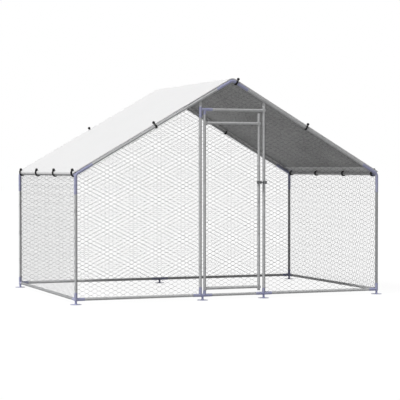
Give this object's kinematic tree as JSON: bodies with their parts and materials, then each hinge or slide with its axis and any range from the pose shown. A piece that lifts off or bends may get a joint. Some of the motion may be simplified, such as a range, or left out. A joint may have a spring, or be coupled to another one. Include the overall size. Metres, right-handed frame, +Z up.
{
  "type": "walk-in poultry run",
  "caption": "Walk-in poultry run: gabled tube frame with push-fit connectors, hexagonal wire netting, a hinged door with a slide bolt, and a roof cover held by ball bungees.",
  "frame": {"origin": "middle of the footprint at ground level, under the foot plates", "axes": "+X across the gables, to the right as the door is seen from outside; +Y from the door to the back; +Z up"},
  "size_m": [3.075, 2.075, 2.0228],
  "materials": {
    "galvanised_tube": "hot-dip galvanised, satin",
    "blue_zinc": "blue-white zinc plate, satin",
    "netting_wire": "galvanised wire",
    "roof_sheet": "woven sheet, white outside and dark grey underneath",
    "bungee_rubber": "black, satin",
    "latch_steel": "dark grey, satin"
  },
  "bodies": {
    "frame": {"base_corner_front_left": "blue_zinc", "base_corner_front_right": "blue_zinc", "base_corner_back_left": "blue_zinc", "base_corner_back_right": "blue_zinc", "base_tee_back": "blue_zinc", "hinge_base_connector": "blue_zinc", "latch_base_connector": "blue_zinc", "base_rail_front_left": "galvanised_tube", "base_rail_front_right": "galvanised_tube", "door_sill_rail": "galvanised_tube", "base_rail_back_left": "galvanised_tube", "base_rail_back_right": "galvanised_tube", "base_rail_left": "galvanised_tube", "base_rail_right": "galvanised_tube", "post_front_left": "galvanised_tube", "post_front_right": "galvanised_tube", "post_back_left": "galvanised_tube", "post_back_right": "galvanised_tube", "eave_elbow_front_left": "blue_zinc", "eave_elbow_front_right": "blue_zinc", "eave_elbow_back_left": "blue_zinc", "eave_elbow_back_right": "blue_zinc", "eave_tube_left": "galvanised_tube", "eave_tube_right": "galvanised_tube", "rafter_front_left": "galvanised_tube", "rafter_front_right": "galvanised_tube", "rafter_back_left": "galvanised_tube", "rafter_back_right": "galvanised_tube", "peak_connector_front": "blue_zinc", "peak_connector_back": "blue_zinc", "ridge_tube": "galvanised_tube", "hinge_jamb": "galvanised_tube", "latch_jamb": "galvanised_tube", "header_tube": "galvanised_tube", "header_connector": "blue_zinc", "jamb_clamps": "galvanised_tube", "frame_bolts": "galvanised_tube", "latch_keeper": "latch_steel", "keeper_screws": "galvanised_tube", "wall_net_left": "netting_wire", "wall_net_right": "netting_wire", "wall_net_back": "netting_wire", "wall_net_front_left": "netting_wire", "wall_net_front_right": "netting_wire", "gable_net": "netting_wire", "roof_cover": "roof_sheet", "roof_eyelets": "galvanised_tube", "eave_bungees_set": "bungee_rubber", "gable_bungees_set": "bungee_rubber"},
    "door": {"hinge_stile": "galvanised_tube", "latch_stile": "galvanised_tube", "door_top_rail": "galvanised_tube", "door_bottom_rail": "galvanised_tube", "door_net": "netting_wire", "door_bolts": "galvanised_tube", "latch_case": "latch_steel", "latch_screws": "galvanised_tube"},
    "slide_bolt": {"latch_bolt": "latch_steel"}
  },
  "joints": [
    {"name": "door_swing", "type": "hinge", "parent": "frame", "child": "door", "pos_m": [-0.273, -0.9875, 0], "axis": [0, 0, -1], "range_deg": [0, 120]},
    {"name": "latch_slide", "type": "slide", "parent": "door", "child": "slide_bolt", "axis": [1, 0, 0], "range_m": [0, 0.03]}
  ]
}
